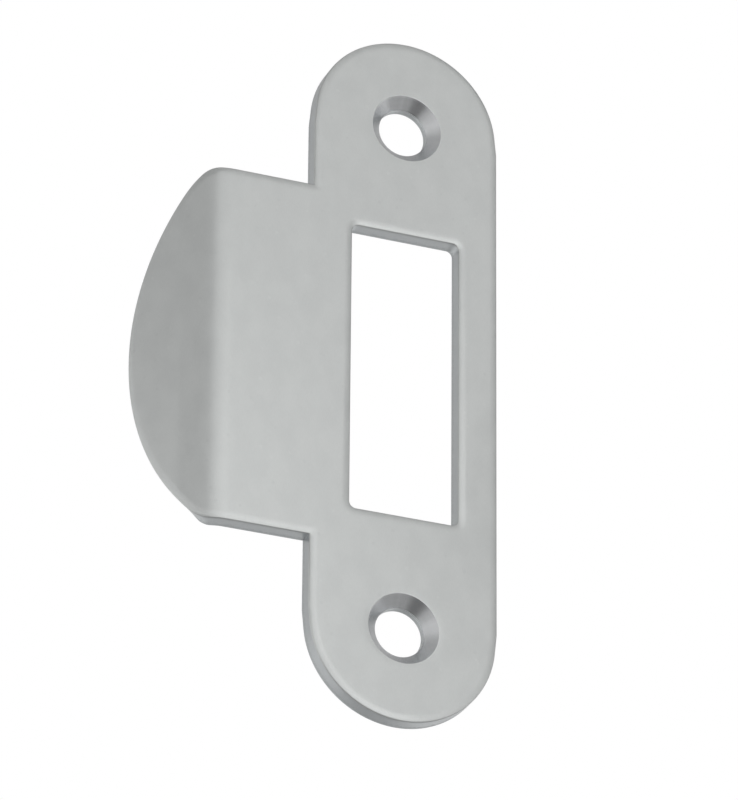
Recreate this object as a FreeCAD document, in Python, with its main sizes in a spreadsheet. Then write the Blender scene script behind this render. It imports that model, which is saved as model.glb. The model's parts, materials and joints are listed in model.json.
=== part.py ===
import FreeCAD, Part
import math
import os
import Sketcher

# Door strike plate, pressed and folded from one sheet of steel.
#
# The frame is the plate as it is screwed to the door jamb: +Z up, the front face
# towards -Y, and the origin on the back face, half way between the two screw holes.
# The lip runs towards -X until it is past the jamb's corner. Its end is bent back
# in a curved flap, which the latch rides up on as the door shuts.

# Driving dimensions: name, value in millimetres or degrees, and what it measures.
DIMENSIONS = [
    ("plate_width", 20.0, "the upright plate, side to side"),
    ("sheet_thickness", 2.0, "the sheet, the same all over"),
    ("screw_spacing", 56.0, "between the screw holes, centre to centre"),
    ("end_inset", 0.15, "how much less than half the width a round end's radius is"),
    ("shoulder_drop", 1.0, "from a screw hole's centre back to the end of the straight side"),
    ("latch_opening_width", 11.6, "the latch opening, across"),
    ("latch_opening_height", 31.6, "the latch opening, up and down"),
    ("latch_corner_radius", 0.7, "in the corners of the latch opening"),
    ("screw_hole_diameter", 5.2, "the straight part of a screw hole"),
    ("countersink_diameter", 7.5, "the mouth of a countersink, at the front face"),
    ("countersink_angle", 90.0, "the whole angle of the countersink's cone"),
    ("lip_height", 39.0, "the lip, up and down"),
    ("lip_length", 8.4, "from the plate's side to where the bend begins"),
    ("bend_inner_radius", 3.8, "inside of the bend, at the back of the sheet"),
    ("flap_angle", 56.5, "how far the flap is bent back from the lip"),
    ("flap_length", 6.35, "from the end of the bend to the flap's tip, along its front"),
    ("flap_corner_radius", 2.9, "rounding of the flap's two corners, seen square to the flap"),
    ("corner_reach", 3.75, "from the end of the bend back to where those roundings begin"),
    ("front_edge_radius", 0.45, "rounding of each edge that the front face ends in"),
]
NODE = "strike_plate"
# How far a cutting sketch reaches past the sheet that it cuts.
CUT_MARGIN = 5.0
# Two lengths or directions that differ by less than this are the same.
SAME = 1e-6
UP = FreeCAD.Vector(0, 0, 1)

# The points of a sketch's piece of geometry, and the sketch's own axes and origin.
START, END, CENTRE = range(1, 4)
LEVEL_AXIS, UPRIGHT_AXIS = range(-1, -3, -1)
ORIGIN = (LEVEL_AXIS, START)


def make_sheet(doc):
    """Put the driving dimensions in a spreadsheet, with one alias each."""
    sheet = doc.addObject("Spreadsheet::Sheet", "Sizes")
    for row, (name, value, note) in enumerate(DIMENSIONS, start=1):
        sheet.set("A%d" % row, name)
        sheet.set("B%d" % row, str(value))
        sheet.set("C%d" % row, note)
        sheet.setAlias("B%d" % row, name)
    doc.recompute()
    return sheet


def add_sketch(body, name, role):
    """A sketch on the body's own origin plane of that role, such as XZ_Plane."""
    plane = next(feature for feature in body.Origin.OriginFeatures if feature.Role == role)
    sketch = body.newObject("Sketcher::SketchObject", name)
    sketch.AttachmentSupport = [(plane, "")]
    sketch.MapMode = "FlatFace"
    return sketch


def line(start, end):
    return Part.LineSegment(FreeCAD.Vector(*start, 0), FreeCAD.Vector(*end, 0))


def circle(centre, radius):
    return Part.Circle(FreeCAD.Vector(*centre, 0), UP, radius)


def arc(centre, radius, start_deg, end_deg):
    """An arc that runs counter-clockwise from start_deg to end_deg."""
    return Part.ArcOfCircle(circle(centre, radius), math.radians(start_deg), math.radians(end_deg))


def constrain(sketch, *constraint):
    sketch.addConstraint(Sketcher.Constraint(*constraint))


def bind(sketch, name, expression, *constraint):
    """Add a constraint that has a size, name it and tie it to the spreadsheet."""
    index = sketch.addConstraint(Sketcher.Constraint(*constraint))
    sketch.renameConstraint(index, name)
    sketch.setExpression("Constraints." + name, expression)


def sketch_plate_outline(body, sheet):
    """The upright plate from the front: two straight sides and two round ends.

    Each end is struck from its screw hole's centre, a shade inside the half width. So
    the side turns a faint corner at its shoulder, and runs on straight into the arc.
    """
    sketch = add_sketch(body, "plate_outline", "XZ_Plane")
    half = sheet.plate_width / 2
    centre = sheet.screw_spacing / 2
    radius = half - sheet.end_inset
    corner = centre - sheet.shoulder_drop
    # The angle, at the hole's centre, of the point where a shoulder touches the arc.
    touch = math.acos(radius / math.hypot(half, sheet.shoulder_drop)) - math.atan2(sheet.shoulder_drop, half)
    touch_deg = math.degrees(touch)
    touch_x = radius * math.cos(touch)
    touch_y = centre + radius * math.sin(touch)

    right, top_right, top, top_left, left, low_left, low, low_right = range(8)
    sketch.addGeometry([
        line((half, -corner), (half, corner)),
        line((half, corner), (touch_x, touch_y)),
        arc((0, centre), radius, touch_deg, 180 - touch_deg),
        line((-touch_x, touch_y), (-half, corner)),
        line((-half, corner), (-half, -corner)),
        line((-half, -corner), (-touch_x, -touch_y)),
        arc((0, -centre), radius, 180 + touch_deg, 360 - touch_deg),
        line((touch_x, -touch_y), (half, -corner)),
    ], False)
    for first, second in ((right, top_right), (top_left, left), (left, low_left), (low_right, right)):
        constrain(sketch, "Coincident", first, END, second, START)
    for first, second in ((top_right, top), (top, top_left), (low_left, low), (low, low_right)):
        constrain(sketch, "Tangent", first, END, second, START)
    for side in (right, left):
        constrain(sketch, "Vertical", side)
    for end, name in ((top, "top"), (low, "low")):
        constrain(sketch, "PointOnObject", end, CENTRE, UPRIGHT_AXIS)
        bind(sketch, name + "_radius", "Sizes.plate_width / 2 - Sizes.end_inset", "Radius", end, radius)
    half_width = "Sizes.plate_width / 2"
    half_spacing = "Sizes.screw_spacing / 2"
    side_end = "Sizes.screw_spacing / 2 - Sizes.shoulder_drop"
    bind(sketch, "top_centre", half_spacing, "DistanceY", *ORIGIN, top, CENTRE, centre)
    bind(sketch, "low_centre", half_spacing, "DistanceY", low, CENTRE, *ORIGIN, centre)
    bind(sketch, "right_side", half_width, "DistanceX", *ORIGIN, right, END, half)
    bind(sketch, "left_side", half_width, "DistanceX", left, START, *ORIGIN, half)
    bind(sketch, "right_top", side_end, "DistanceY", *ORIGIN, right, END, corner)
    bind(sketch, "left_top", side_end, "DistanceY", *ORIGIN, left, START, corner)
    bind(sketch, "right_bottom", side_end, "DistanceY", right, START, *ORIGIN, corner)
    bind(sketch, "left_bottom", side_end, "DistanceY", left, END, *ORIGIN, corner)
    return sketch


def sketch_fold_profile(body, sheet):
    """The lip, its bend and the flap from above, as a band of one thickness.

    The band begins at the plate's centre line, so it is one with the plate, and the
    flap ends square at its full length.
    """
    sketch = add_sketch(body, "fold_profile", "XY_Plane")
    thick = sheet.sheet_thickness
    inner = sheet.bend_inner_radius
    outer = inner + thick
    turn = math.radians(sheet.flap_angle)
    bend_x = -sheet.plate_width / 2 - sheet.lip_length

    def past_bend(radius, run):
        """The point at that radius where the bend ends, moved by run along the flap."""
        return (bend_x - radius * math.sin(turn) - run * math.cos(turn),
                inner - radius * math.cos(turn) + run * math.sin(turn))

    length = sheet.flap_length
    front, outside, face, tip, reverse, inside, back, root = range(8)
    sketch.addGeometry([
        line((0, -thick), (bend_x, -thick)),
        arc((bend_x, inner), outer, 270 - sheet.flap_angle, 270),
        line(past_bend(outer, 0), past_bend(outer, length)),
        line(past_bend(outer, length), past_bend(inner, length)),
        line(past_bend(inner, length), past_bend(inner, 0)),
        arc((bend_x, inner), inner, 270 - sheet.flap_angle, 270),
        line((bend_x, 0), (0, 0)),
        line((0, 0), (0, -thick)),
    ], False)
    for first, second in ((face, tip), (tip, reverse), (back, root), (root, front)):
        constrain(sketch, "Coincident", first, END, second, START)
    constrain(sketch, "Tangent", front, END, outside, END)
    constrain(sketch, "Tangent", outside, START, face, START)
    constrain(sketch, "Tangent", reverse, END, inside, START)
    constrain(sketch, "Tangent", inside, END, back, START)
    constrain(sketch, "Coincident", inside, CENTRE, outside, CENTRE)
    constrain(sketch, "Coincident", root, START, *ORIGIN)
    constrain(sketch, "Vertical", root)
    constrain(sketch, "Horizontal", front)
    constrain(sketch, "Horizontal", back)
    constrain(sketch, "Parallel", face, reverse)
    constrain(sketch, "Perpendicular", face, tip)
    bind(sketch, "thickness", "Sizes.sheet_thickness", "DistanceY", root, END, *ORIGIN, thick)
    bind(sketch, "bend_begins", "Sizes.plate_width / 2 + Sizes.lip_length",
         "DistanceX", back, START, *ORIGIN, -bend_x)
    bind(sketch, "bend_radius", "Sizes.bend_inner_radius", "Radius", inside, inner)
    bind(sketch, "bend_turn", "Sizes.flap_angle * 1 deg", "Angle", inside, turn)
    bind(sketch, "flap_run", "Sizes.flap_length", "Distance", face, length)
    return sketch


def sketch_flap_waste(body, sheet):
    """What is cut off the square flap, drawn on the flap's front face.

    Here x is 0 where the bend ends and falls to minus flap_length at the tip. One wide
    arc goes through the tip, and at each corner it runs on into a small one, which
    ends level with the lip's side at corner_reach, inside the bend.
    """
    sketch = add_sketch(body, "flap_waste", "XZ_Plane")
    turned_back = FreeCAD.Rotation(FreeCAD.Vector(0, -1, 0), sheet.flap_angle)
    sketch.AttachmentOffset = FreeCAD.Placement(FreeCAD.Vector(), turned_back)
    bend_x = "-Sizes.plate_width / 2 - Sizes.lip_length"
    outer = "(Sizes.bend_inner_radius + Sizes.sheet_thickness)"
    turn = "Sizes.flap_angle * 1 deg"
    sketch.setExpression("AttachmentOffset.Base.x", "%s - %s * sin(%s)" % (bend_x, outer, turn))
    sketch.setExpression("AttachmentOffset.Base.z", "%s * cos(%s) - Sizes.bend_inner_radius" % (outer, turn))
    sketch.setExpression("AttachmentOffset.Rotation.Angle", turn)

    half = sheet.lip_height / 2
    corner = sheet.flap_corner_radius
    reach = sheet.corner_reach
    tip_x = -sheet.flap_length
    crown = reach - tip_x
    # The wide arc goes through the tip, and the small ones lie inside it and touch it.
    radius = (crown ** 2 + half ** 2 - 2 * half * corner) / (2 * (crown - corner))
    lean_deg = math.degrees(math.atan2(half - corner, reach - tip_x - radius))
    outer_x = tip_x - CUT_MARGIN
    outer_y = half + CUT_MARGIN

    edge, top_corner, low_corner, top_side, top, far, low, low_side = range(8)
    sketch.addGeometry([
        arc((tip_x + radius, 0), radius, lean_deg, 360 - lean_deg),
        arc((reach, half - corner), corner, 90, lean_deg),
        arc((reach, corner - half), corner, 360 - lean_deg, 270),
        line((reach, half), (reach, outer_y)),
        line((reach, outer_y), (outer_x, outer_y)),
        line((outer_x, outer_y), (outer_x, -outer_y)),
        line((outer_x, -outer_y), (reach, -outer_y)),
        line((reach, -outer_y), (reach, -half)),
    ], False)
    constrain(sketch, "Tangent", edge, START, top_corner, END)
    constrain(sketch, "Tangent", edge, END, low_corner, START)
    constrain(sketch, "Coincident", top_corner, START, top_side, START)
    constrain(sketch, "Coincident", low_corner, END, low_side, END)
    for first, second in ((top_side, top), (top, far), (far, low), (low, low_side)):
        constrain(sketch, "Coincident", first, END, second, START)
    for upright in (top_side, low_side, far):
        constrain(sketch, "Vertical", upright)
    for level in (top, low):
        constrain(sketch, "Horizontal", level)
    constrain(sketch, "Equal", top_corner, low_corner)
    constrain(sketch, "Equal", top_side, low_side)
    for end, name in ((top_corner, "top"), (low_corner, "low")):
        bind(sketch, name + "_reach", "Sizes.corner_reach", "DistanceX", *ORIGIN, end, CENTRE, reach)
    rise = "Sizes.lip_height / 2 - Sizes.flap_corner_radius"
    bind(sketch, "top_rise", rise, "DistanceY", *ORIGIN, top_corner, CENTRE, half - corner)
    bind(sketch, "low_rise", rise, "DistanceY", low_corner, CENTRE, *ORIGIN, half - corner)
    constrain(sketch, "Vertical", top_corner, START, top_corner, CENTRE)
    constrain(sketch, "Vertical", low_corner, END, low_corner, CENTRE)
    bind(sketch, "corner_radius", "Sizes.flap_corner_radius", "Radius", top_corner, corner)
    crown_sum = "(Sizes.flap_length + Sizes.corner_reach)"
    bind(sketch, "edge_radius",
         "(%s ^ 2 + Sizes.lip_height ^ 2 / 4 - Sizes.lip_height * Sizes.flap_corner_radius)"
         " / (2 * (%s - Sizes.flap_corner_radius))" % (crown_sum, crown_sum), "Radius", edge, radius)
    constrain(sketch, "DistanceY", top_side, START, top_side, END, CUT_MARGIN)
    bind(sketch, "waste_end", "Sizes.flap_length + %g" % CUT_MARGIN,
         "DistanceX", far, START, *ORIGIN, -outer_x)
    return sketch


def sketch_latch_opening(body, sheet):
    """The latch opening: a rectangle about the origin, with its corners rounded."""
    sketch = add_sketch(body, "latch_opening", "XZ_Plane")
    half_x = sheet.latch_opening_width / 2
    half_y = sheet.latch_opening_height / 2
    radius = sheet.latch_corner_radius
    in_x = half_x - radius
    in_y = half_y - radius

    right, top_right, top, top_left, left, low_left, low, low_right = range(8)
    sketch.addGeometry([
        line((half_x, -in_y), (half_x, in_y)),
        arc((in_x, in_y), radius, 0, 90),
        line((in_x, half_y), (-in_x, half_y)),
        arc((-in_x, in_y), radius, 90, 180),
        line((-half_x, in_y), (-half_x, -in_y)),
        arc((-in_x, -in_y), radius, 180, 270),
        line((-in_x, -half_y), (in_x, -half_y)),
        arc((in_x, -in_y), radius, 270, 360),
    ], False)
    loop = (right, top_right, top, top_left, left, low_left, low, low_right)
    for first, second in zip(loop, loop[1:] + loop[:1]):
        constrain(sketch, "Tangent", first, END, second, START)
    for upright in (right, left):
        constrain(sketch, "Vertical", upright)
    for level in (top, low):
        constrain(sketch, "Horizontal", level)
    for corner in (top_left, low_left, low_right):
        constrain(sketch, "Equal", top_right, corner)
    bind(sketch, "corner_radius", "Sizes.latch_corner_radius", "Radius", top_right, radius)
    half_width = "Sizes.latch_opening_width / 2"
    half_height = "Sizes.latch_opening_height / 2"
    bind(sketch, "right_side", half_width, "DistanceX", *ORIGIN, right, START, half_x)
    bind(sketch, "left_side", half_width, "DistanceX", left, START, *ORIGIN, half_x)
    bind(sketch, "top_side", half_height, "DistanceY", *ORIGIN, top, START, half_y)
    bind(sketch, "low_side", half_height, "DistanceY", low, START, *ORIGIN, half_y)
    return sketch


def sketch_screw_holes(body, sheet):
    """One circle for each screw hole, on the front face."""
    sketch = add_sketch(body, "screw_centres", "XZ_Plane")
    sketch.setExpression("AttachmentOffset.Base.z", "Sizes.sheet_thickness")
    centre = sheet.screw_spacing / 2
    radius = sheet.screw_hole_diameter / 2
    top, low = range(2)
    sketch.addGeometry([circle((0, centre), radius), circle((0, -centre), radius)], False)
    for hole in (top, low):
        constrain(sketch, "PointOnObject", hole, CENTRE, UPRIGHT_AXIS)
    constrain(sketch, "Equal", top, low)
    bind(sketch, "hole_radius", "Sizes.screw_hole_diameter / 2", "Radius", top, radius)
    bind(sketch, "top_hole", "Sizes.screw_spacing / 2", "DistanceY", *ORIGIN, top, CENTRE, centre)
    bind(sketch, "low_hole", "Sizes.screw_spacing / 2", "DistanceY", low, CENTRE, *ORIGIN, centre)
    return sketch


def front_skin(shape, sheet):
    """The faces of the sheet's front: the plate and lip, the outside of the bend, the flap."""
    turn = math.radians(sheet.flap_angle)
    plate_out = FreeCAD.Vector(0, -1, 0)
    flap_out = FreeCAD.Vector(-math.sin(turn), -math.cos(turn), 0)
    outer = sheet.bend_inner_radius + sheet.sheet_thickness
    skin = []
    for face in shape.Faces:
        surface = face.Surface
        if isinstance(surface, Part.Plane):
            outward = face.normalAt(0, 0)
            if outward.isEqual(plate_out, SAME) or outward.isEqual(flap_out, SAME):
                skin.append(face)
        elif isinstance(surface, Part.Cylinder) and abs(surface.Radius - outer) < SAME:
            if surface.Axis.cross(UP).Length < SAME:
                skin.append(face)
    return skin


def front_edges(shape, sheet):
    """Names of the edges where the front skin ends, apart from the countersinks' rims."""
    skin = front_skin(shape, sheet)
    mouth = sheet.countersink_diameter / 2
    names = []
    for number, edge in enumerate(shape.Edges, start=1):
        faces = [face for face in skin if any(edge.isSame(other) for other in face.Edges)]
        curve = edge.Curve
        rim = isinstance(curve, Part.Circle) and abs(curve.Radius - mouth) < SAME
        if len(faces) == 1 and not rim:
            names.append("Edge%d" % number)
    return names


def build_strike_plate(doc, sheet):
    """The whole plate, made in the order that a press tool would make it."""
    body = doc.addObject("PartDesign::Body", NODE)
    body.Label = NODE

    plate = body.newObject("PartDesign::Pad", "plate")
    plate.Profile = sketch_plate_outline(body, sheet)
    plate.setExpression("Length", "Sizes.sheet_thickness")
    doc.recompute()

    lip = body.newObject("PartDesign::Pad", "lip_and_flap")
    lip.Profile = sketch_fold_profile(body, sheet)
    lip.SideType = "Symmetric"
    lip.setExpression("Length", "Sizes.lip_height")
    doc.recompute()

    flap_edge = body.newObject("PartDesign::Pocket", "flap_edge")
    flap_edge.Profile = sketch_flap_waste(body, sheet)
    flap_edge.Type = "ThroughAll"
    doc.recompute()

    # The sketch lies on the back face, so the cut goes its reversed way, to the front.
    opening = body.newObject("PartDesign::Pocket", "latch_way")
    opening.Profile = sketch_latch_opening(body, sheet)
    opening.Type = "ThroughAll"
    opening.Reversed = True
    doc.recompute()

    screws = body.newObject("PartDesign::Hole", "screw_holes")
    screws.Profile = sketch_screw_holes(body, sheet)
    doc.recompute()
    screws.DepthType = "ThroughAll"
    screws.HoleCutType = "Countersink"
    screws.HoleCutCustomValues = True
    screws.setExpression("Diameter", "Sizes.screw_hole_diameter")
    screws.setExpression("HoleCutDiameter", "Sizes.countersink_diameter")
    screws.setExpression("HoleCutCountersinkAngle", "Sizes.countersink_angle * 1 deg")
    doc.recompute()

    rounding = body.newObject("PartDesign::Fillet", "front_rounding")
    rounding.Base = (screws, front_edges(screws.Shape, sheet))
    rounding.setExpression("Radius", "Sizes.front_edge_radius")
    doc.recompute()

    body.Tip = rounding
    doc.recompute()
    return body


def check_cuts(body):
    """Each cut takes metal away, and each pad adds some, or the build stops."""
    volume = 0.0
    for feature in body.Group:
        if not feature.isDerivedFrom("PartDesign::Feature"):
            continue
        change = feature.Shape.Volume - volume
        volume = feature.Shape.Volume
        adds = feature.isDerivedFrom("PartDesign::Pad")
        if (change > 0) != adds or abs(change) < SAME:
            raise RuntimeError("%s changed the volume by %.3f mm3" % (feature.Name, change))
        print("%-14s %+9.2f mm3" % (feature.Name, change))


def check_document(doc, body):
    """Stop on a failed feature, a loose sketch or a shape that isn't one valid solid."""
    for item in doc.Objects:
        if "Invalid" in item.State or "Error" in item.State:
            raise RuntimeError("%s is %s" % (item.Name, item.State))
        if item.isDerivedFrom("Sketcher::SketchObject") and not item.FullyConstrained:
            raise RuntimeError("%s isn't fully constrained" % item.Name)
    shape = body.Shape
    if shape.isNull() or not shape.isValid() or len(shape.Solids) != 1:
        raise RuntimeError("%s isn't one valid solid" % body.Label)


def main():
    doc = FreeCAD.newDocument("door_strike_plate")
    sheet = make_sheet(doc)
    body = build_strike_plate(doc, sheet)
    check_document(doc, body)
    check_cuts(body)
    os.makedirs("parts", exist_ok=True)
    body.Shape.exportStep("parts/%s.step" % body.Label)
    box = body.Shape.optimalBoundingBox()
    print("%s: %.2f x %.2f x %.2f mm, %.1f mm3" % (
        body.Label, box.XLength, box.YLength, box.ZLength, body.Shape.Volume))


main()
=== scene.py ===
# %% [markdown]
# # A door strike plate in satin steel
# The part is one piece of steel sheet, pressed and folded: an upright plate with a latch opening and
# two countersunk screw holes, and a lip that ends in a curved flap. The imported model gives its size
# and place. This script dresses it: it gives the sheet the soft edges that a press and a polishing
# mop leave, a finish for each way the steel was worked, and a plain white studio to stand in.

import json
import math

import bpy
import numpy as np
from mathutils import Matrix, Vector
from mathutils.geometry import delaunay_2d_cdt


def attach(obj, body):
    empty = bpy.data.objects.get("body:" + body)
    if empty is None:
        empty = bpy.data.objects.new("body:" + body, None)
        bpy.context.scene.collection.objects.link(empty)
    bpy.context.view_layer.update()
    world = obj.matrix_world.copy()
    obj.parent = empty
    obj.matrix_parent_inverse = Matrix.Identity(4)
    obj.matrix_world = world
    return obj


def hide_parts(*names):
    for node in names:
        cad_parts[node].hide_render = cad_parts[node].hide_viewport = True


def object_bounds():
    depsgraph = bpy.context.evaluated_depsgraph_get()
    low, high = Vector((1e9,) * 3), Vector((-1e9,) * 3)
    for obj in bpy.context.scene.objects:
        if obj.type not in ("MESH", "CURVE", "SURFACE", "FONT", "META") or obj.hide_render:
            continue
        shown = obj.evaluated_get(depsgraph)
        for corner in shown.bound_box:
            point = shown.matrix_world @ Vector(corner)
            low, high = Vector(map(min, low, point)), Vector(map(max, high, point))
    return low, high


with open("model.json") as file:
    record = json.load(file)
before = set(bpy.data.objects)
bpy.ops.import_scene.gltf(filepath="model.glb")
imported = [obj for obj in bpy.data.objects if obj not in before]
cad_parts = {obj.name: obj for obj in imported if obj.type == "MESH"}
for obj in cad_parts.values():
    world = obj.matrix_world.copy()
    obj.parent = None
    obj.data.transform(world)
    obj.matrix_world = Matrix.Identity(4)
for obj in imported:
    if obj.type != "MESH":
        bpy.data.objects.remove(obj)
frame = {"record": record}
cad_low, cad_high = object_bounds()
MM = 0.001
PLATE_NODE = "strike_plate"
print("CAD box in mm:", [round(side / MM, 2) for side in cad_high - cad_low])

# %% [markdown]
# ## The camera
# The plate was seen from its lower left and from far away, through a long lens. The easiest way to
# place such a camera is to say which way it looks, what point it looks at and from how far. The three
# axes of the camera follow from that direction, so no rotation has to be guessed by hand.

# %% Place the camera
LOOK_TURN = math.radians(21.675)
LOOK_RISE = math.radians(26.466)
CAMERA_ROLL = math.radians(0.52)
LOOK_AT = Vector((-3.894, -2.00, -3.746)) * MM
CAMERA_DISTANCE = 617.0 * MM
SENSOR_WIDTH_MM = 36.0
LENS_MM = 278.72


def camera_axes(turn, rise, roll):
    """Right, up and forward of a camera that looks along +Y, turned to the right and tipped up.

    Forward is (sin turn cos rise, cos turn cos rise, sin rise). Right is level, up is square to
    both, and the roll then mixes right and up by its cosine and sine.
    """
    forward = Vector((math.sin(turn) * math.cos(rise), math.cos(turn) * math.cos(rise), math.sin(rise)))
    right = Vector((math.cos(turn), -math.sin(turn), 0.0))
    up = right.cross(forward)
    rolled_right = right * math.cos(roll) + up * math.sin(roll)
    return rolled_right, rolled_right.cross(forward), forward


camera_right, camera_up, camera_forward = camera_axes(LOOK_TURN, LOOK_RISE, CAMERA_ROLL)
camera_data = bpy.data.cameras.new("camera")
camera_data.sensor_width = SENSOR_WIDTH_MM
camera_data.lens = LENS_MM
camera_data.clip_start = 0.01
camera_data.clip_end = 20.0
camera = bpy.data.objects.new("camera", camera_data)
turned = Matrix((camera_right, camera_up, -camera_forward)).transposed()
camera.matrix_world = Matrix.Translation(LOOK_AT - camera_forward * CAMERA_DISTANCE) @ turned.to_4x4()
bpy.context.scene.collection.objects.link(camera)
bpy.context.scene.camera = camera
print("camera at", [round(value, 3) for value in camera.matrix_world.translation])

# %% [markdown]
# ## The sheet, flat
# A press first punches a flat blank and then folds it. Drawing the blank flat and carrying it round
# the bend afterwards has the same merit here as in the workshop: every outline is plain lines and
# arcs, and each cut edge stays square to the sheet all the way round the fold. All sizes below are
# millimetres. The first number of a point runs across the plate, +X to the right, and goes on along
# the lip and flap as if the sheet were never folded. The second one is the height.

# %% Sizes of the sheet
screws = next(mount for mount in frame["record"]["mounts"] if mount["name"] == "screw_holes")
HOLE_HEIGHT = screws["dims"]["spacing_y_mm"] / 2
HOLE_RADIUS = screws["dims"]["hole_r_mm"]
PLATE_HALF = cad_high.x / MM
THICKNESS = -cad_low.y / MM
END_RADIUS = cad_high.z / MM - HOLE_HEIGHT
SHOULDER_DROP = 1.0
SHOULDER_HEIGHT = HOLE_HEIGHT - SHOULDER_DROP
OPENING_HALF = (5.8, 15.8)
OPENING_CORNER = 0.7
COUNTERSINK_RADIUS = 3.75
LIP_HALF = 19.5
LIP_FLAT = 8.4
BEND_INNER = 3.8
FLAP_ANGLE = math.radians(56.5)
FLAP_LENGTH = 6.35
FLAP_RADIUS = 25.26
FLAP_CORNER = 3.25
FLAP_DROP = 0.19
BEND_BEGINS = PLATE_HALF + LIP_FLAT
BEND_OUTER = BEND_INNER + THICKNESS
FLAP_TIP = BEND_BEGINS + BEND_OUTER * FLAP_ANGLE + FLAP_LENGTH
print("half width %.2f, thickness %.2f, end radius %.2f" % (PLATE_HALF, THICKNESS, END_RADIUS))

# %% [markdown]
# ## Outlines
# Each outline is a closed path of close points, and every curve in it is a true arc. The steel lies
# on the left of the path: the outer outline runs counter-clockwise, and the rims of the holes run
# clockwise. At each point the path also needs the direction out of the steel. Between two runs that
# meet at a corner that is their mitre, as on a picture frame, so that an edge keeps its width.

# %% Lines and arcs
STEP = 0.25
FEWEST_ON_LINE, FEWEST_ON_ARC = 2, 6


def line_points(start, end):
    """Points on a straight run: start plus t times (end minus start), t from 0 to under 1."""
    start, end = np.array(start, float), np.array(end, float)
    count = max(FEWEST_ON_LINE, math.ceil(np.linalg.norm(end - start) / STEP))
    share = np.arange(count)[:, None] / count
    return start + share * (end - start)


def arc_points(centre, radius, start, end):
    """Points on an arc: centre plus radius times (cos a, sin a), a from start to just before end."""
    count = max(FEWEST_ON_ARC, math.ceil(abs(end - start) * radius / STEP))
    angle = start + (end - start) * np.arange(count) / count
    return np.array(centre) + radius * np.stack([np.cos(angle), np.sin(angle)], axis=1)


def mitres(path):
    """The way out of the steel at each point, long enough that both runs there move out by one.

    A run (dx, dz) has its outside at (dz, -dx). Where two runs meet with outsides m and n, the
    mitre is (m + n) / (1 + m.n), which on a smooth curve is just the outside itself.
    """
    run = np.roll(path, -1, axis=0) - path
    outside = np.stack([run[:, 1], -run[:, 0]], axis=1) / np.linalg.norm(run, axis=1)[:, None]
    before = np.roll(outside, 1, axis=0)
    return (before + outside) / (1 + np.sum(before * outside, axis=1))[:, None]


print("a circle of 1 mm radius takes", len(arc_points((0, 0), 1.0, 0, 2 * math.pi)), "points")


# %% The outer outline
def round_end(direction):
    """One end of the plate, right to left for the top end (+1) and left to right for the bottom (-1).

    The arc is struck from the screw hole, a shade inside the plate's half width, and each
    shoulder runs straight from the end of the side to where it touches that arc.
    """
    centre = np.array((0.0, direction * HOLE_HEIGHT))
    reach = math.hypot(PLATE_HALF, SHOULDER_DROP)
    touch = math.acos(END_RADIUS / reach) - math.atan2(SHOULDER_DROP, PLATE_HALF)
    start = touch if direction > 0 else math.pi + touch
    end = start + math.pi - 2 * touch
    arc = arc_points(centre, END_RADIUS, start, end)
    last = centre + END_RADIUS * np.array((math.cos(end), math.sin(end)))
    side_start = (direction * PLATE_HALF, direction * SHOULDER_HEIGHT)
    side_end = (-direction * PLATE_HALF, direction * SHOULDER_HEIGHT)
    return np.concatenate([line_points(side_start, arc[0]), arc, line_points(last, side_end)])


def lip_and_flap():
    """The lip's top side, the flap's curved edge and the lip's bottom side, top to bottom.

    The flap's edge is one arc about a point FLAP_DROP under the middle. At each corner a smaller
    arc touches it from inside and touches the lip's level side. So its centre is FLAP_CORNER
    inside that level, and FLAP_RADIUS minus FLAP_CORNER away from the big arc's centre.
    """
    middle = np.array((FLAP_RADIUS - FLAP_TIP, -FLAP_DROP))
    between = FLAP_RADIUS - FLAP_CORNER
    corners, leans = [], []
    for side in (1, -1):
        rise = side * (LIP_HALF - FLAP_CORNER) + FLAP_DROP
        back = math.sqrt(between ** 2 - rise ** 2)
        corners.append(middle + (-back, rise))
        leans.append(math.atan2(rise, -back) % (2 * math.pi))
    return np.concatenate([
        line_points((-PLATE_HALF, LIP_HALF), (corners[0][0], LIP_HALF)),
        arc_points(corners[0], FLAP_CORNER, math.pi / 2, leans[0]),
        arc_points(middle, FLAP_RADIUS, leans[0], leans[1]),
        arc_points(corners[1], FLAP_CORNER, leans[1], 3 * math.pi / 2),
        line_points((corners[1][0], -LIP_HALF), (-PLATE_HALF, -LIP_HALF)),
    ])


outer_path = np.concatenate([
    line_points((PLATE_HALF, -SHOULDER_HEIGHT), (PLATE_HALF, SHOULDER_HEIGHT)),
    round_end(+1),
    line_points((-PLATE_HALF, SHOULDER_HEIGHT), (-PLATE_HALF, LIP_HALF)),
    lip_and_flap(),
    line_points((-PLATE_HALF, -LIP_HALF), (-PLATE_HALF, -SHOULDER_HEIGHT)),
    round_end(-1),
])
print("outer outline:", len(outer_path), "points")


# %% The latch opening and the screw holes
def opening_rim():
    """A rectangle with round corners, clockwise: four runs, and a quarter arc at each end."""
    half_x, half_z = OPENING_HALF
    inner_x, inner_z = half_x - OPENING_CORNER, half_z - OPENING_CORNER
    quarter = math.pi / 2
    return np.concatenate([
        line_points((half_x, inner_z), (half_x, -inner_z)),
        arc_points((inner_x, -inner_z), OPENING_CORNER, 0, -quarter),
        line_points((inner_x, -half_z), (-inner_x, -half_z)),
        arc_points((-inner_x, -inner_z), OPENING_CORNER, -quarter, -2 * quarter),
        line_points((-half_x, -inner_z), (-half_x, inner_z)),
        arc_points((-inner_x, inner_z), OPENING_CORNER, 2 * quarter, quarter),
        line_points((-inner_x, half_z), (inner_x, half_z)),
        arc_points((inner_x, inner_z), OPENING_CORNER, quarter, 0),
    ])


opening_path = opening_rim()
hole_paths = [arc_points((0.0, side * HOLE_HEIGHT), HOLE_RADIUS, 2 * math.pi, 0) for side in (+1, -1)]
print("latch opening:", len(opening_path), "points, each screw hole:", len(hole_paths[0]))

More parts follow.
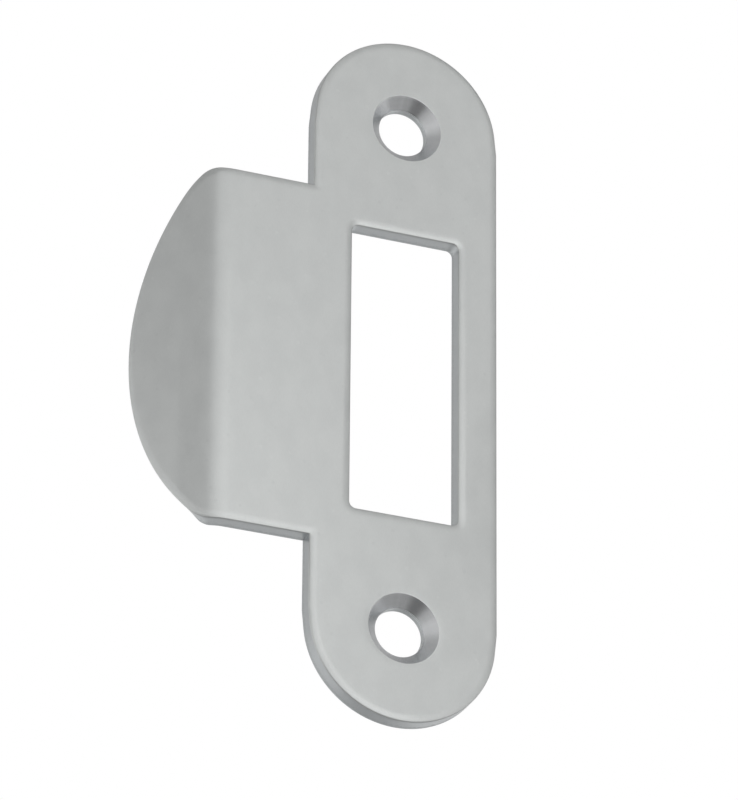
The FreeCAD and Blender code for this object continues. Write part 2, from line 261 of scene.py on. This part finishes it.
# %% [markdown]
# ## Edges
# A punched edge isn't a knife-sharp corner. On the side that the punch enters, the steel is drawn
# down over almost a millimetre in a slow droop, and ends in a tight corner that tumbling has just
# dulled. On the far side it breaks away almost sharp. A Bevel modifier would give one even round
# all over, so here an edge is a short profile that is carried along its outline: how far into the
# steel each of its points lies, and how deep it is under the front face. A countersunk hole has the
# same kind of profile, with a cone in place of the droop. Each stretch of a profile has a number of
# points, its two ends among them.

# %% Profiles across an edge
ROLL_WIDTH = 0.8
ROLL_TILT = math.radians(22)
CORNER_ROUND = 0.15
BACK_BREAK = 0.06
RIM_BREAK = 0.05
DROOP_POINTS, CORNER_POINTS, EDGE_WALL_POINTS = 10, 9, 6
CONE_POINTS, HOLE_WALL_POINTS, BREAK_POINTS = 8, 4, 4


def back_break():
    """Inset and depth where a wall meets the back face: a quarter round of radius BACK_BREAK."""
    away = np.linspace(0, math.pi / 2, BREAK_POINTS)
    return np.stack([BACK_BREAK * (1 - np.cos(away)), THICKNESS - BACK_BREAK * (1 - np.sin(away))], axis=1)


def punched_profile():
    """Inset and depth of a punched edge: a wide arc, a tight arc, the straight wall, a tiny round.

    An arc of radius r that tilts from a to b runs r (sin b - sin a) outwards and
    r (cos a - cos b) down. The wide one ends at ROLL_TILT, where the tight one takes over.
    """
    wide = np.linspace(0, ROLL_TILT, DROOP_POINTS)
    tight = np.linspace(ROLL_TILT, math.pi / 2, CORNER_POINTS)[1:]
    roll_radius = ROLL_WIDTH / math.sin(ROLL_TILT)
    out = np.concatenate([roll_radius * np.sin(wide),
                          ROLL_WIDTH + CORNER_ROUND * (np.sin(tight) - math.sin(ROLL_TILT))])
    down = np.concatenate([roll_radius * (1 - np.cos(wide)),
                           roll_radius * (1 - math.cos(ROLL_TILT))
                           + CORNER_ROUND * (math.cos(ROLL_TILT) - np.cos(tight))])
    back = back_break()
    front = np.stack([out[-1] - out, down], axis=1)
    depths = np.linspace(down[-1], back[0, 1], EDGE_WALL_POINTS)[1:-1]
    wall = np.stack([np.zeros(len(depths)), depths], axis=1)
    return np.concatenate([front, wall, back])


def countersunk_profile():
    """Inset and depth of a screw hole: a cone at 45 degrees with its rims just broken, and a wall.

    A round of radius r that turns by an angle a touches its two lines r tan(a / 2) away from where
    they meet. At 45 degrees the cone is as deep as it is wide, so the rim's round starts as far
    from the wall as the throat's round ends below the face.
    """
    mouth = COUNTERSINK_RADIUS - HOLE_RADIUS
    slant = math.pi / 4
    turn = np.linspace(0, slant, BREAK_POINTS)
    touch = mouth + RIM_BREAK * math.tan(slant / 2)
    rim = np.stack([touch - RIM_BREAK * np.sin(turn), RIM_BREAK * (1 - np.cos(turn))], axis=1)
    throat = np.stack([RIM_BREAK * (1 - np.cos(slant - turn)),
                       touch - RIM_BREAK * np.sin(slant - turn)], axis=1)
    cone = rim[-1] + np.linspace(0, 1, CONE_POINTS)[1:-1, None] * (throat[0] - rim[-1])
    back = back_break()
    wall = throat[-1] + np.linspace(0, 1, HOLE_WALL_POINTS)[1:-1, None] * (back[0] - throat[-1])
    return np.concatenate([rim, cone, throat, wall, back])


def wall_starts(profile):
    """The number of the first point that has no inset, to within a millionth of a millimetre."""
    return int(np.argmin(profile[:, 0] > 1e-6))


edge_profile = punched_profile()
hole_profile = countersunk_profile()
print("edge profile:", len(edge_profile), "points, its wall starts at", wall_starts(edge_profile))
print("screw hole:", len(hole_profile), "points, its wall starts at", wall_starts(hole_profile))

# %% [markdown]
# ## From blank to solid
# The outlines and profiles make four strips, one for each edge. What is left are the two big faces.
# They are flat on the blank, so a triangulation fills them: the strips' own first and last rings,
# plus a lattice of points between, which the bend needs to be round. Because the fill uses the
# strips' points themselves, the sheet is closed without anything having to be welded.

# %% Strips and fills on the blank
LATTICE_STEP = 0.8
BEND_STEP = 0.2
CLEAR_OF_RIM = 0.3
INSIDE_RINGS = 1
SAME_PLACE = 1e-7


def strip(path, profile, first):
    """A profile carried along a closed path, as points (across, height, depth) and quads.

    Point (i, j) is the path's point i, moved into the steel by the profile's inset j along the
    mitre, at the profile's depth j. Quads join it to its neighbours, and wrap round at the end.
    """
    place = path[:, None, :] - mitres(path)[:, None, :] * profile[None, :, :1]
    depth = np.broadcast_to(profile[None, :, 1:], place.shape[:2] + (1,))
    points = np.concatenate([place, depth], axis=2).reshape(-1, 3)
    index = first + np.arange(len(points)).reshape(place.shape[:2])
    after = np.roll(index, -1, axis=0)
    quads = np.stack([index[:, :-1], index[:, 1:], after[:, 1:], after[:, :-1]], axis=-1).reshape(-1, 4)
    return points, quads, index


def inside(points, rings):
    """Which points lie in the steel: an upward ray from each crosses the rings an odd number of times."""
    crossings = np.zeros(len(points), int)
    for ring in rings:
        start, end = ring, np.roll(ring, -1, axis=0)
        x = points[:, None, 0]
        spans = (start[None, :, 0] > x) != (end[None, :, 0] > x)
        run = end[:, 0] - start[:, 0]
        slope = (end[:, 1] - start[:, 1]) / np.where(run == 0, 1.0, run)
        above = start[None, :, 1] + (x - start[None, :, 0]) * slope[None, :] > points[:, None, 1]
        crossings += np.sum(spans & above, axis=1)
    return crossings % 2 == 1


def lattice(rings):
    """Points at even steps over the blank, closer across the bend, that keep clear of every rim."""
    bend_ends = BEND_BEGINS + BEND_OUTER * FLAP_ANGLE
    fine_from, fine_to = -bend_ends - BEND_STEP, -BEND_BEGINS + 2 * BEND_STEP
    across = np.concatenate([
        np.arange(-FLAP_TIP, fine_from, LATTICE_STEP),
        np.arange(fine_from, fine_to, BEND_STEP),
        np.arange(fine_to, PLATE_HALF, LATTICE_STEP),
    ])
    up = np.arange(-HOLE_HEIGHT - END_RADIUS, HOLE_HEIGHT + END_RADIUS, LATTICE_STEP)
    grid = np.stack(np.meshgrid(across, up, indexing="ij"), axis=-1).reshape(-1, 2)
    grid = grid[inside(grid, rings)]
    for ring in rings:
        gap = np.min(np.linalg.norm(grid[:, None, :] - ring[None, :, :], axis=2), axis=1)
        grid = grid[gap > CLEAR_OF_RIM]
    return grid


def fill(rings, ring_numbers, depth, first):
    """Triangles over the steel between the rings, at one depth. New points are numbered from first.

    The triangulation keeps the runs of every ring as edges. It fills the holes too, so a triangle
    stays only if its middle lies in the steel.
    """
    between = lattice(rings)
    flat = np.concatenate(rings + [between])
    number = np.concatenate(ring_numbers + [first + np.arange(len(between))])
    edges = []
    offset = 0
    for ring in rings:
        own = offset + np.arange(len(ring))
        edges += list(zip(own.tolist(), np.roll(own, -1).tolist()))
        offset += len(ring)
    _, _, corners, sources, _, _ = delaunay_2d_cdt(
        [Vector(point) for point in flat], edges, [], INSIDE_RINGS, SAME_PLACE)
    origin = np.array([source[0] for source in sources])
    triangles = origin[np.array(corners)]
    triangles = triangles[inside(flat[triangles].mean(axis=1), rings)]
    points = np.concatenate([between, np.full((len(between), 1), depth)], axis=1)
    return points, number[triangles]


print("lattice every %.1f mm, across the bend every %.1f mm" % (LATTICE_STEP, BEND_STEP))

# %% [markdown]
# ## The fold
# The blank is measured along what becomes the outside of the bend, so the fold keeps lengths there,
# and the thickness turns with the sheet. With that, one formula carries any point of the blank to
# its place. The distance past the start of the bend first goes into turning, up to the full angle,
# and what is left of it goes straight on in the direction reached. Before the bend there is no turn,
# so the same formula leaves the plate flat.


# %% Fold the blank
def fold(points):
    """Carry blank points (across, height, depth) round the bend, to x, y, z in millimetres.

    With run the distance past the bend's start, turn is run / outer radius kept between 0 and the
    flap's angle, and rest is run less what the turn has used. The point stands at (outer radius -
    depth) from the bend's axis, at that turn, and then moves by rest along the turned sheet.
    """
    across, height, depth = points.T
    run = -across - BEND_BEGINS
    turn = np.clip(run / BEND_OUTER, 0, FLAP_ANGLE)
    rest = run - BEND_OUTER * turn
    radius = BEND_OUTER - depth
    x = -BEND_BEGINS - radius * np.sin(turn) - rest * np.cos(turn)
    y = BEND_OUTER - THICKNESS - radius * np.cos(turn) + rest * np.sin(turn)
    return np.stack([x, y, height], axis=1)


folded_tip = fold(np.array([[-FLAP_TIP, 0.0, 0.0]]))[0]
print("the flap's tip lies %.2f mm out on the blank and folds to" % FLAP_TIP, folded_tip.round(2))

# %% Build the sheet
SHARP_ANGLE = math.radians(35)


def build_sheet():
    """Strips for the four edges, then the front and back faces between their rings.

    The back face is the same fill at the sheet's depth, with its triangles wound the other way
    round, so that it faces backwards.
    """
    points, quads, indexes = [], [], []
    total = 0
    edges = [(outer_path, edge_profile), (opening_path, edge_profile)]
    edges += [(path, hole_profile) for path in hole_paths]
    for path, profile in edges:
        new_points, new_quads, index = strip(path, profile, total)
        points.append(new_points)
        quads.append(new_quads)
        indexes.append(index)
        total += len(new_points)
    placed = np.concatenate(points)
    groups = list(quads)
    for column, depth in ((0, 0.0), (-1, THICKNESS)):
        numbers = [index[:, column] for index in indexes]
        rings = [placed[own, :2] for own in numbers]
        new_points, triangles = fill(rings, numbers, depth, total)
        points.append(new_points)
        total += len(new_points)
        groups.append(triangles if column == 0 else triangles[:, ::-1])
    return np.concatenate(points), groups


blank_points, face_groups = build_sheet()
faces = [face for group in face_groups for face in group.tolist()]
mesh = bpy.data.meshes.new("satin_plate")
mesh.from_pydata((fold(blank_points) * MM).tolist(), [], faces)
mesh.validate(verbose=True)
satin_plate = bpy.data.objects.new("satin_plate", mesh)
bpy.context.scene.collection.objects.link(satin_plate)
mesh.shade_smooth()
mesh.set_sharp_from_angle(angle=SHARP_ANGLE)
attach(satin_plate, "root")
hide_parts(PLATE_NODE)
print("faces:", [len(group) for group in face_groups], "points:", len(blank_points))

# %% [markdown]
# ## What each point remembers
# A finish follows the way in which the steel was worked. Tumbling leaves the same grain all over the
# blank, punching draws its streaks straight through the sheet, and a countersink turns round its own
# axis. World coordinates know none of this once the sheet is folded. So each point keeps two vectors
# of its own: where it lay on the blank, in millimetres, and for a screw hole the way out from the
# axis, in which a mark that runs round the hole has no start and no end.


# %% Attributes for the finishes
def remember(name, vectors):
    """Store one vector for each point of the plate under a name that a material can read."""
    memory = mesh.attributes.new(name, "FLOAT_VECTOR", "POINT")
    memory.data.foreach_set("vector", vectors.astype("f").ravel())
    print(name, "from", vectors.min(axis=0).round(2), "to", vectors.max(axis=0).round(2))


def way_from_screw(points):
    """(cos a, sin a, depth) for each point, with a its angle round the nearer screw hole."""
    height = points[:, 1] - HOLE_HEIGHT * np.sign(points[:, 1])
    reach = np.hypot(points[:, 0], height)
    return np.stack([points[:, 0] / reach, height / reach, points[:, 2]], axis=1)


remember("blank_mm", blank_points)
remember("round_screw", way_from_screw(blank_points))

# %% [markdown]
# ## Building blocks for the finishes
# All three finishes are the same bare steel, so they share a few small helpers. Each adds one or two
# nodes: a noise that reads an attribute, a range that turns the noise into a useful number, and a
# mix between two tints of steel. A noise averages 0.5 and seldom leaves 0.3 to 0.7, which is why
# the range reads it between those two numbers.

# %% Node helpers
NOISE_LOW, NOISE_HIGH = 0.3, 0.7


def bare_steel(name):
    """A new material whose shader is metal all through."""
    finish = bpy.data.materials.new(name)
    finish.use_nodes = True
    shader = finish.node_tree.nodes["Principled BSDF"]
    shader.inputs["Metallic"].default_value = 1.0
    mesh.materials.append(finish)
    return finish.node_tree, shader


def remembered(tree, attribute):
    """The vector that the plate's points remember under a name."""
    node = tree.nodes.new("ShaderNodeAttribute")
    node.attribute_name = attribute
    return node.outputs["Vector"]


def grain(tree, attribute, size, detail=2.0):
    """Noise with grains of the given size: the attribute's vector is divided by size, part by part."""
    vector = remembered(tree, attribute)
    stretch = tree.nodes.new("ShaderNodeVectorMath")
    stretch.operation = "DIVIDE"
    stretch.inputs[1].default_value = size
    noise = tree.nodes.new("ShaderNodeTexNoise")
    noise.inputs["Scale"].default_value = 1.0
    noise.inputs["Detail"].default_value = detail
    tree.links.new(vector, stretch.inputs[0])
    tree.links.new(stretch.outputs["Vector"], noise.inputs["Vector"])
    return noise.outputs["Fac"]


def scattered(tree, attribute, spacing):
    """Distance to the nearest of many scattered points, and that point's own random number."""
    vector = remembered(tree, attribute)
    points = tree.nodes.new("ShaderNodeTexVoronoi")
    points.inputs["Scale"].default_value = 1.0 / spacing
    tree.links.new(vector, points.inputs["Vector"])
    return points.outputs["Distance"], points.outputs["Color"]


def ranged(tree, value, low, high, start=NOISE_LOW, end=NOISE_HIGH):
    """Low up to start, high past end, and low + (high - low) (3 t^2 - 2 t^3) between them.

    t is the share of the way that the value has gone from start to end.
    """
    node = tree.nodes.new("ShaderNodeMapRange")
    node.interpolation_type = "SMOOTHSTEP"
    tree.links.new(value, node.inputs["Value"])
    for socket, number in (("From Min", start), ("From Max", end), ("To Min", low), ("To Max", high)):
        node.inputs[socket].default_value = number
    return node.outputs["Result"]


def combined(tree, operation, first, second):
    """Two values added or multiplied. The second one may be a plain number."""
    node = tree.nodes.new("ShaderNodeMath")
    node.operation = operation
    for socket, value in zip(node.inputs, (first, second)):
        if isinstance(value, float):
            socket.default_value = value
        else:
            tree.links.new(value, socket)
    return node.outputs["Value"]


def tinted(tree, share, dark, light):
    """A colour between two tints of steel, by a share from 0 to 1."""
    node = tree.nodes.new("ShaderNodeMix")
    node.data_type = "RGBA"
    tree.links.new(share, node.inputs["Factor"])
    node.inputs["A"].default_value = (*dark, 1.0)
    node.inputs["B"].default_value = (*light, 1.0)
    return node.outputs["Result"]


def pressed_in(tree, shader, height, depth_mm):
    """A bump on the shader: height 0 to 1 becomes a relief of depth_mm."""
    node = tree.nodes.new("ShaderNodeBump")
    node.inputs["Strength"].default_value = 1.0
    node.inputs["Distance"].default_value = depth_mm * MM
    tree.links.new(height, node.inputs["Height"])
    tree.links.new(node.outputs["Normal"], shader.inputs["Normal"])


print("a noise is read from %.1f to %.1f" % (NOISE_LOW, NOISE_HIGH))

# %% [markdown]
# ## The satin face
# The plate was tumbled, or blasted and then brushed lightly. Close up its face is a carpet of tiny
# short scratches, mostly upright, a tenth of a millimetre wide. From where the camera stands they
# melt into an even sheen, with slow clouds a few millimetres across. Scratches and clouds are a noise
# each. A scatter of points adds rare dark pits, whose darkness is painted shade, and rare bright
# points, which are painted glints; both are in the colour only. All are on the blank's own
# millimetres, so the grain runs on round the bend as it does on the real sheet. Clouds and
# scratches together move the tint by about one part in thirty either way, and the scratches are also
# a relief of a few thousandths of a millimetre. The roughness follows only the clouds: it blurs the
# reflections, and a fine grain in it would come out as loose dots.

# %% Satin face
SATIN_DARK = (0.531, 0.545, 0.540)
SATIN_LIGHT = (0.573, 0.587, 0.580)
SCRATCH_MM = (0.10, 0.45, 0.10)
CLOUD_MM = (2.6, 3.8, 2.6)
CLOUD_TINTS, SCRATCH_TINTS = (-0.05, 0.55), (0.08, 0.42)
SATIN_ROUGHNESS = (0.285, 0.315)
SCRATCH_RELIEF_MM = 0.003
SPECK_SPACING_MM = 1.5
SPECK_CORE, SPECK_RIM = 0.05, 0.17
PAINTED_PIT_SHADE, PAINTED_GLINT = -0.6, 0.6
PITS_UP_TO, BRIGHT_FROM = 0.4, 0.6

tree, shader = bare_steel("satin_face")
scratches = grain(tree, "blank_mm", SCRATCH_MM, detail=3.0)
clouds = grain(tree, "blank_mm", CLOUD_MM, detail=3.0)
# Rare dark pits are painted shade and rare bright points are painted glints, in the colour only.
distance, chance = scattered(tree, "blank_mm", SPECK_SPACING_MM)
near = ranged(tree, distance, 1.0, 0.0, SPECK_CORE, SPECK_RIM)
painted_pits_and_glints = combined(tree, "MULTIPLY", near, ranged(tree, chance, PAINTED_PIT_SHADE, PAINTED_GLINT, PITS_UP_TO, BRIGHT_FROM))
tint = combined(tree, "ADD", ranged(tree, clouds, *CLOUD_TINTS), ranged(tree, scratches, *SCRATCH_TINTS))
tint = combined(tree, "ADD", tint, painted_pits_and_glints)
tree.links.new(tinted(tree, tint, SATIN_DARK, SATIN_LIGHT), shader.inputs["Base Color"])
tree.links.new(ranged(tree, clouds, *SATIN_ROUGHNESS), shader.inputs["Roughness"])
pressed_in(tree, shader, scratches, SCRATCH_RELIEF_MM)
print("satin face:", len(tree.nodes), "nodes")

# %% [markdown]
# ## The punched edges
# A punch leaves its own marks through the thickness of a sheet. First comes a burnished band, where
# it sheared the steel cleanly and drew fine straight streaks. Below about two thirds of the depth
# the steel tore, and that band is duller, darker and a little ragged where it starts. The streaks
# run straight through the sheet because their noise is stretched along the depth, twenty times as
# long as it is wide. The same noise also moves the start of the torn band up and down.

# %% Punched edges
PUNCHED_DARK = (0.470, 0.492, 0.500)
PUNCHED_LIGHT = (0.560, 0.580, 0.588)
STREAK_MM = (0.14, 0.14, 2.8)
CRUMB_MM = (0.12, 0.12, 0.16)
TEAR_STARTS, TEAR_ENDS = 1.35, 1.60
TEAR_WAVERS = 0.18
STREAK_TINTS, TORN_TINT = (0.48, 0.72), -0.36
STREAK_ROUGHNESS, TORN_ROUGHNESS = (0.285, 0.32), 0.14
EDGE_RELIEF_MM = 0.001

tree, shader = bare_steel("punched_edge")
streaks = grain(tree, "blank_mm", STREAK_MM)
crumbs = grain(tree, "blank_mm", CRUMB_MM)
parts = tree.nodes.new("ShaderNodeSeparateXYZ")
tree.links.new(remembered(tree, "blank_mm"), parts.inputs["Vector"])
ragged = combined(tree, "ADD", parts.outputs["Z"], ranged(tree, streaks, -TEAR_WAVERS, TEAR_WAVERS))
torn = ranged(tree, ragged, 0.0, 1.0, TEAR_STARTS, TEAR_ENDS)
darker = combined(tree, "MULTIPLY", torn, TORN_TINT)
burnish = combined(tree, "ADD", ranged(tree, streaks, *STREAK_TINTS), darker)
tree.links.new(tinted(tree, burnish, PUNCHED_DARK, PUNCHED_LIGHT), shader.inputs["Base Color"])
duller = combined(tree, "MULTIPLY", torn, TORN_ROUGHNESS)
dullness = combined(tree, "ADD", ranged(tree, streaks, *STREAK_ROUGHNESS), duller)
tree.links.new(dullness, shader.inputs["Roughness"])
torn_relief = combined(tree, "MULTIPLY", crumbs, torn)
pressed_in(tree, shader, combined(tree, "ADD", streaks, torn_relief), EDGE_RELIEF_MM)
print("punched edges:", len(tree.nodes), "nodes")

# %% [markdown]
# ## The countersinks
# The cones were cut after the finish, so they are paler than the face and mirror a little more sharply.
# A countersink turns, which leaves fine rings at each depth, and it chatters a little, which leaves
# faint spokes. The rings are a noise that changes fast with depth and hardly at all round the hole,
# and the spokes are the other way about. Both read the way out from the screw's axis: its first two
# numbers go round a circle of radius 1, and its third is the depth in millimetres.

# %% Countersinks
TURNED_DARK = (0.550, 0.560, 0.568)
TURNED_LIGHT = (0.650, 0.660, 0.670)
RING_SIZE, SPOKE_SIZE = (1.6, 1.6, 0.16), (0.14, 0.14, 2.5)
RING_TINTS, SPOKE_TINTS = (0.20, 0.40), (0.15, 0.45)
TURNED_ROUGHNESS = (0.25, 0.265)
TURNED_RELIEF_MM = 0.001

tree, shader = bare_steel("turned_cone")
cut_rings = grain(tree, "round_screw", RING_SIZE, detail=1.0)
spokes = grain(tree, "round_screw", SPOKE_SIZE, detail=1.0)
cut = combined(tree, "ADD", ranged(tree, cut_rings, *RING_TINTS), ranged(tree, spokes, *SPOKE_TINTS))
tree.links.new(tinted(tree, cut, TURNED_DARK, TURNED_LIGHT), shader.inputs["Base Color"])
tree.links.new(ranged(tree, spokes, *TURNED_ROUGHNESS), shader.inputs["Roughness"])
pressed_in(tree, shader, combined(tree, "ADD", cut_rings, spokes), TURNED_RELIEF_MM)
print("countersinks:", len(tree.nodes), "nodes")

# %% [markdown]
# ## Which finish goes where
# The finishes change along the profiles, where the work on the real sheet changed. On a strip the
# quads of one point of the outline come one after another, so a quad's place in its profile is its
# number modulo the number of quads across the strip, which is one less than the profile's points.
# The two big faces are satin all over.

# %% Hand out the finishes
SATIN, PUNCHED, TURNED = range(3)


def along_profile(strip_quads, profile, front_finish):
    """The finish of each quad of a strip: the front's until the wall starts, and punched from there."""
    place = np.arange(len(strip_quads)) % (len(profile) - 1)
    return np.where(place < wall_starts(profile), front_finish, PUNCHED)


outer_edge, opening_edge, upper_hole, lower_hole, front_face, back_face = face_groups
finish_of = np.concatenate([
    along_profile(outer_edge, edge_profile, SATIN),
    along_profile(opening_edge, edge_profile, SATIN),
    along_profile(upper_hole, hole_profile, TURNED),
    along_profile(lower_hole, hole_profile, TURNED),
    np.full(len(front_face) + len(back_face), SATIN),
])
mesh.polygons.foreach_set("material_index", finish_of.astype(np.int32))
print("faces of each finish:", np.bincount(finish_of))

# %% [markdown]
# ## The studio
# Satin metal has hardly a colour of its own: it shows its surroundings, blurred. So a photographer
# hangs a tent of paper round it, white in front, grey at the sides and behind, and what looks like
# shading on the flap and on the edges is the grey paper mirrored there. Lamps alone would leave
# hard bright spots and black gaps between them. Here the tent is a ball round the plate. Its paper
# is seen by the metal and by nothing else, so the light of the white world passes through it, and
# the background stays white. Each point of the paper has its own grey, worked out from the direction
# in which it hangs: turn is 0 in front of the plate and grows towards the lip, and rise is 0 level
# with it and 90 overhead, both in degrees. One grey eases into the next between two such angles. A
# small dark disc, which a photographer calls a flag, hangs close in front. It takes a little light
# off the lower right of the plate and nowhere else.

# %% The tent's greys
TENT_RADIUS = 0.55
SHEET_EDGE = 22.0
TOP_GREY = 0.52
# Dark patches painted on the paper: the first stands for the camera's stand, the second is painted shade.
STAND_AND_SHADE_PATCHES = ((27.0, -52.0, 19.0, 0.17), (-80.0, -36.0, 20.0, 0.42))
STAND_BLUR = 8.0


def ease(value, start, end):
    """0 before start, 1 past end, and 3 t^2 - 2 t^3 between them, with t the share of the way."""
    share = np.clip((value - start) / (end - start), 0, 1)
    return share * share * (3 - 2 * share)


def blend(first, second, share):
    """The first value where the share is 0, the second where it is 1, and in between evenly."""
    return first + (second - first) * share


def front_grey(rise):
    """White paper with painted shade: darker slowly overhead, and quickly below, as under a table's edge.
    """
    level, overhead, painted_shade_below = 1.0, 0.60, 0.40
    grey = blend(level, overhead, ease(rise, 8, 78))
    return blend(grey, painted_shade_below, ease(rise, -25, -55))


def back_grey(rise):
    """Grey paper behind the plate, with painted light and shade: darker above, palest just under it, dark
    below.
    """
    behind, above, painted_shade_below = 0.56, 0.40, 0.42
    paler_low = 0.235
    grey = blend(behind, above, ease(rise, 33, 56)) + paler_low * ease(rise, 22, -8)
    return blend(grey, painted_shade_below, ease(rise, -23, -35))


def side_grey(turn, rise):
    """The sheet on the lip's side: palest level with the plate, with a paler band of painted light next to
    the back.
    """
    level, above, below = 0.80, 0.50, 0.55
    painted_light_band = 0.10
    grey = blend(level, above, ease(rise, 8, 40)) + painted_light_band * ease(turn, 94, 122)
    grey = blend(grey, below, ease(rise, 0, -38))
    return blend(grey, back_grey(rise), ease(turn, 132, 152))


def tent_grey(turn, rise):
    """Front and back run into each other on the right. On the left the side sheet has a plain edge.

    The white paper in front reaches further round to the right high up than low down, and right
    overhead all of it runs into one grey. Two dark patches are painted low down: the first, in front
    and to the left, stands for the camera's stand, and the second, on the right, is painted shade.
    Each is given as its turn, rise, reach and grey, and the paper darkens evenly towards it.
    """
    turns_grey = blend(-11, -50, ease(rise, 20, 50))
    all_grey = -76
    right = blend(front_grey(rise), back_grey(rise), ease(turn, turns_grey, all_grey))
    grey = np.where(turn > SHEET_EDGE, side_grey(turn, rise), right)
    grey = blend(grey, TOP_GREY, ease(rise, 65, 85))
    # Darken the paper towards each patch: the camera's stand, then painted shade on the right.
    for stand_turn, stand_rise, reach, patch_grey in STAND_AND_SHADE_PATCHES:
        away = np.hypot((turn - stand_turn) * math.cos(math.radians(stand_rise)), rise - stand_rise)
        grey = blend(patch_grey, grey, ease(away, reach - STAND_BLUR, reach + STAND_BLUR))
    return grey


print("level with the plate: front %.2f, lip's side %.2f, back %.2f"
      % (front_grey(0), side_grey(90, 0), back_grey(0)))

# %% Hang the tent and lay the floor
FLOOR_HEIGHT = -0.8
FLOOR_RADIUS = 6.0
FLAG_PLACE = (0.058, -0.101, 0.038)
FLAG_RADIUS, FLAG_GREY = 0.0068, 0.05
TENT_STEP, TENT_RINGS, TENT_TOP = 2.0, 90, 89.5
DISC_STEP = 5
DISC_MIDDLE = 0.001


def net_faces(rows, columns):
    """Quads between neighbours of a net of points whose last column meets its first."""
    index = np.arange(rows * columns).reshape(rows, columns)
    index = np.concatenate([index, index[:, :1]], axis=1)
    quads = [index[:-1, :-1], index[:-1, 1:], index[1:, 1:], index[1:, :-1]]
    return np.stack(quads, axis=-1).reshape(-1, 4)


def paper(name, points, greys):
    """A stage piece of matt paper, with one grey for each point of its net."""
    net = bpy.data.meshes.new(name)
    net.from_pydata(points.reshape(-1, 3).tolist(), [], net_faces(*points.shape[:2]).tolist())
    net.shade_smooth()
    net.attributes.new("grey", "FLOAT", "POINT").data.foreach_set("value", greys.astype("f").ravel())
    sheet = bpy.data.materials.new(name)
    sheet.use_nodes = True
    nodes, links = sheet.node_tree.nodes, sheet.node_tree.links
    nodes.remove(nodes["Principled BSDF"])
    matt = nodes.new("ShaderNodeBsdfDiffuse")
    read = nodes.new("ShaderNodeAttribute")
    read.attribute_name = "grey"
    links.new(read.outputs["Fac"], matt.inputs["Color"])
    links.new(matt.outputs["BSDF"], nodes["Material Output"].inputs["Surface"])
    net.materials.append(sheet)
    piece = bpy.data.objects.new(name, net)
    bpy.context.scene.collection.objects.link(piece)
    return piece


def round_sheet(centre, normal, radius, rings):
    """A net over a flat disc: centre plus r (cos a u + sin a v), with u and v square to the normal.

    r runs from a thousandth of the radius to the whole of it.
    """
    normal = Vector(normal).normalized()
    first = normal.orthogonal().normalized()
    second = normal.cross(first)
    steps, around = np.linspace(DISC_MIDDLE, 1, rings), np.radians(np.arange(0, 360, DISC_STEP))
    reach, angle = np.meshgrid(steps * radius, around, indexing="ij")
    return (np.array(centre) + (reach * np.cos(angle))[..., None] * np.array(first)
            + (reach * np.sin(angle))[..., None] * np.array(second))


turn, rise = np.meshgrid(np.arange(-180.0, 180.0, TENT_STEP) + TENT_STEP / 2,
                         np.linspace(-TENT_TOP, TENT_TOP, TENT_RINGS))
turn_angle, rise_angle = np.radians(turn), np.radians(rise)
ball = TENT_RADIUS * np.stack([-np.sin(turn_angle) * np.cos(rise_angle),
                               -np.cos(turn_angle) * np.cos(rise_angle), np.sin(rise_angle)], axis=-1)
flag_net = round_sheet(FLAG_PLACE, FLAG_PLACE, FLAG_RADIUS, rings=3)
tent_greys = tent_grey(turn, rise)
tent = paper("tent", ball, tent_greys)
flag = paper("flag", flag_net, np.full(flag_net.shape[:2], FLAG_GREY))
for sheet in (tent, flag):
    sheet.visible_camera = False
    sheet.visible_diffuse = False
    sheet.visible_shadow = False
floor_net = round_sheet((0, 0, FLOOR_HEIGHT), (0, 0, 1), FLOOR_RADIUS, rings=12)
paper("floor", floor_net, np.ones(floor_net.shape[:2]))
print("tent greys from %.2f to %.2f" % (tent_greys.min(), tent_greys.max()))

# %% [markdown]
# ## The lamps
# Three soft lamps stand inside the tent. The small one close in front gives the lower left of the
# plate its glow: because it is near, its reflection slides across the face and fades towards the
# right. The large one stands low, and only the lower edges, which droop towards it, catch it. The
# smallest hangs on the lip's side and does for the low end of the flap what the first does for the
# plate. A lamp's power is its brightness times pi times its area, and 1 is as bright as white paper.


# %% Place the lamps
def soft_lamp(name, place, width, brightness):
    """A round lamp, its place and width in metres, that faces the point the camera looks at."""
    area = math.pi * width ** 2 / 4
    lamp_data = bpy.data.lights.new(name, "AREA")
    lamp_data.shape = "DISK"
    lamp_data.size = width
    lamp_data.energy = brightness * math.pi * area
    lamp = bpy.data.objects.new(name, lamp_data)
    aim = LOOK_AT - Vector(place)
    lamp.matrix_world = Matrix.Translation(place) @ aim.to_track_quat("-Z", "Y").to_matrix().to_4x4()
    lamp.visible_camera = False
    bpy.context.scene.collection.objects.link(lamp)
    print(name, "lamp, %.4f W" % lamp_data.energy)


soft_lamp("near", place=(0.0, -0.105, 0.020), width=0.07, brightness=0.163)
soft_lamp("low", place=(0.070, -0.366, -0.075), width=0.22, brightness=0.25)
soft_lamp("side", place=(-0.119, 0.014, 0.022), width=0.03, brightness=0.16)

world = bpy.data.worlds.new("white_room")
world.use_nodes = True
world.node_tree.nodes["Background"].inputs["Color"].default_value = (1, 1, 1, 1)
bpy.context.scene.world = world
bpy.context.scene.view_settings.view_transform = "Standard"
